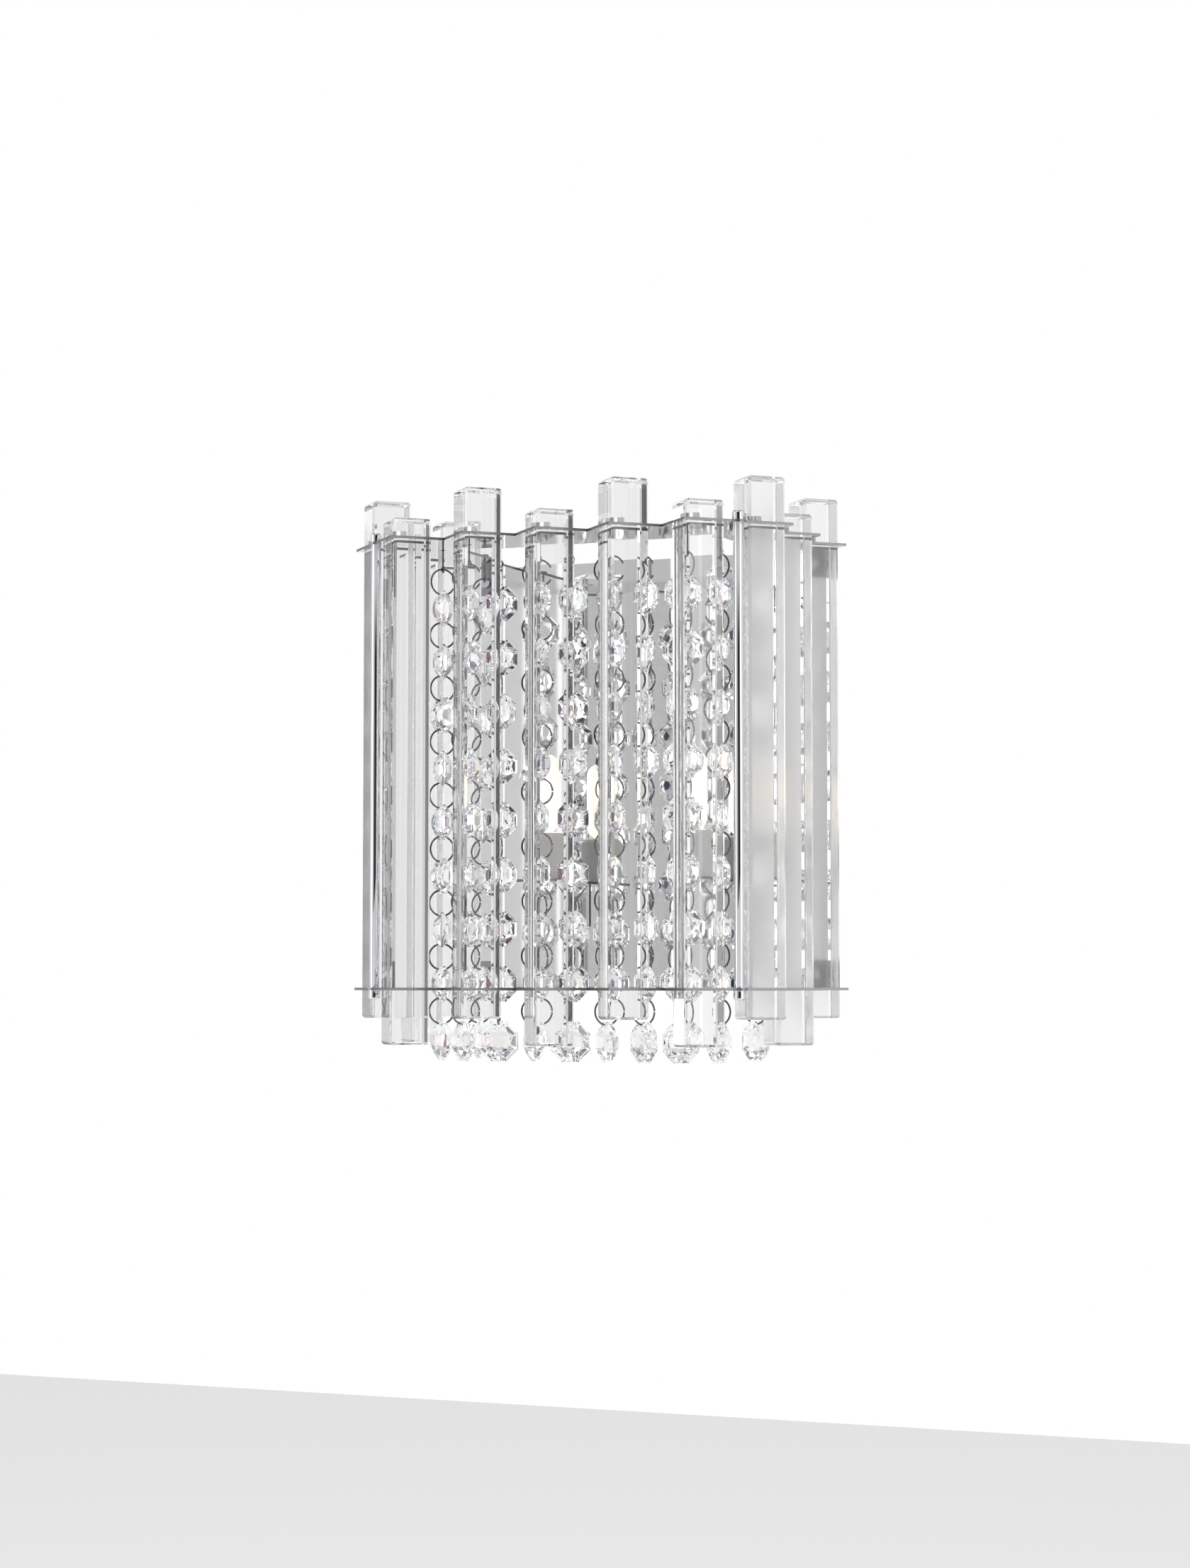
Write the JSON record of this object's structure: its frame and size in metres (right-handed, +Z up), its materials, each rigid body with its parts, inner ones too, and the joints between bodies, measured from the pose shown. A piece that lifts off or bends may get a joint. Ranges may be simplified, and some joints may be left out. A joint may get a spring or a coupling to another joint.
{
  "type": "crystal wall sconce",
  "caption": "Wall light with saw-toothed polished plates, upright square glass bars and strands of cut crystals that swing in front of a mirror-polished back plate with capsule lamps.",
  "frame": {"origin": "middle of the wall bracket's back face, on the wall", "axes": "+Z up, +Y into the wall, the light faces -Y, +X to the viewer's right"},
  "size_m": [0.2216, 0.147, 0.2638],
  "materials": {
    "bar_glass": "clear polished glass, square bar with ground edges",
    "cut_crystal": "clear lead crystal, cut and polished facets",
    "link_wire": "chromed round wire",
    "polished_plate": "mirror-polished stainless sheet, laser cut edge",
    "mirror_sheet": "mirror-polished folded sheet",
    "chrome": "chrome plate",
    "zinc_steel": "zinc-plated steel",
    "terminal_plastic": "moulded polyamide",
    "ceramic": "steatite ceramic, fired, faintly glazed",
    "lamp_glass": "clear capsule, lit warm white",
    "pin_wire": "nickel wire"
  },
  "bodies": {
    "sconce": {"top_plate": "polished_plate", "bottom_plate": "polished_plate", "back_plate": "mirror_sheet", "wall_bracket": "zinc_steel", "bracket_studs": "zinc_steel", "cap_nuts": "chrome", "plate_screws": "zinc_steel", "terminal_block": "terminal_plastic", "tie_rod_left": "chrome", "tie_rod_right": "chrome", "rod_nuts": "chrome", "bar_stops": "chrome", "lamp_brackets": "polished_plate", "bracket_screws": "zinc_steel", "lamp_holder_left": "ceramic", "lamp_holder_right": "ceramic", "lamp_capsule_left": "lamp_glass", "lamp_capsule_right": "lamp_glass", "lamp_pins": "pin_wire", "glass_bar_01": "bar_glass", "glass_bar_02": "bar_glass", "glass_bar_03": "bar_glass", "glass_bar_04": "bar_glass", "glass_bar_05": "bar_glass", "glass_bar_06": "bar_glass", "glass_bar_07": "bar_glass", "glass_bar_08": "bar_glass", "glass_bar_09": "bar_glass", "glass_bar_10": "bar_glass", "glass_bar_11": "bar_glass"},
    "strand_01": {"crystals_01": "cut_crystal", "links_01": "link_wire"},
    "strand_02": {"crystals_02": "cut_crystal", "links_02": "link_wire"},
    "strand_03": {"crystals_03": "cut_crystal", "links_03": "link_wire"},
    "strand_04": {"crystals_04": "cut_crystal", "links_04": "link_wire"},
    "strand_05": {"crystals_05": "cut_crystal", "links_05": "link_wire"},
    "strand_06": {"crystals_06": "cut_crystal", "links_06": "link_wire"},
    "strand_07": {"crystals_07": "cut_crystal", "links_07": "link_wire"},
    "strand_08": {"crystals_08": "cut_crystal", "links_08": "link_wire"},
    "strand_09": {"crystals_09": "cut_crystal", "links_09": "link_wire"},
    "strand_10": {"crystals_10": "cut_crystal", "links_10": "link_wire"},
    "strand_11": {"crystals_11": "cut_crystal", "links_11": "link_wire"}
  },
  "joints": [
    {"name": "left_side_strand_swing", "type": "hinge", "parent": "sconce", "child": "strand_01", "pos_m": [-0.07153, -0.05445, 0.1059], "axis": [0, 1, 0], "range_deg": [-5, 0.4]},
    {"name": "left_corner_strand_swing", "type": "hinge", "parent": "sconce", "child": "strand_02", "pos_m": [-0.07003, -0.09853, 0.1059], "axis": [1, 0, 0], "range_deg": [-0.5, 5]},
    {"name": "front_1_strand_swing", "type": "hinge", "parent": "sconce", "child": "strand_03", "pos_m": [-0.05475, -0.10653, 0.1059], "axis": [1, 0, 0], "range_deg": [-0.4, 7.5]},
    {"name": "front_2_strand_swing", "type": "hinge", "parent": "sconce", "child": "strand_04", "pos_m": [-0.0365, -0.10653, 0.1059], "axis": [1, 0, 0], "range_deg": [-0.4, 7.5]},
    {"name": "front_3_strand_swing", "type": "hinge", "parent": "sconce", "child": "strand_05", "pos_m": [-0.01825, -0.10653, 0.1059], "axis": [1, 0, 0], "range_deg": [-0.4, 7.5]},
    {"name": "front_4_strand_swing", "type": "hinge", "parent": "sconce", "child": "strand_06", "pos_m": [0, -0.10653, 0.1059], "axis": [1, 0, 0], "range_deg": [-0.4, 7.5]},
    {"name": "front_5_strand_swing", "type": "hinge", "parent": "sconce", "child": "strand_07", "pos_m": [0.01825, -0.10653, 0.1059], "axis": [1, 0, 0], "range_deg": [-0.4, 7.5]},
    {"name": "front_6_strand_swing", "type": "hinge", "parent": "sconce", "child": "strand_08", "pos_m": [0.0365, -0.10653, 0.1059], "axis": [1, 0, 0], "range_deg": [-0.4, 7.5]},
    {"name": "front_7_strand_swing", "type": "hinge", "parent": "sconce", "child": "strand_09", "pos_m": [0.05475, -0.10653, 0.1059], "axis": [1, 0, 0], "range_deg": [-0.4, 7.5]},
    {"name": "right_corner_strand_swing", "type": "hinge", "parent": "sconce", "child": "strand_10", "pos_m": [0.07003, -0.09853, 0.1059], "axis": [1, 0, 0], "range_deg": [-0.5, 5]},
    {"name": "right_side_strand_swing", "type": "hinge", "parent": "sconce", "child": "strand_11", "pos_m": [0.07153, -0.05445, 0.1059], "axis": [0, 1, 0], "range_deg": [-0.4, 5]}
  ]
}
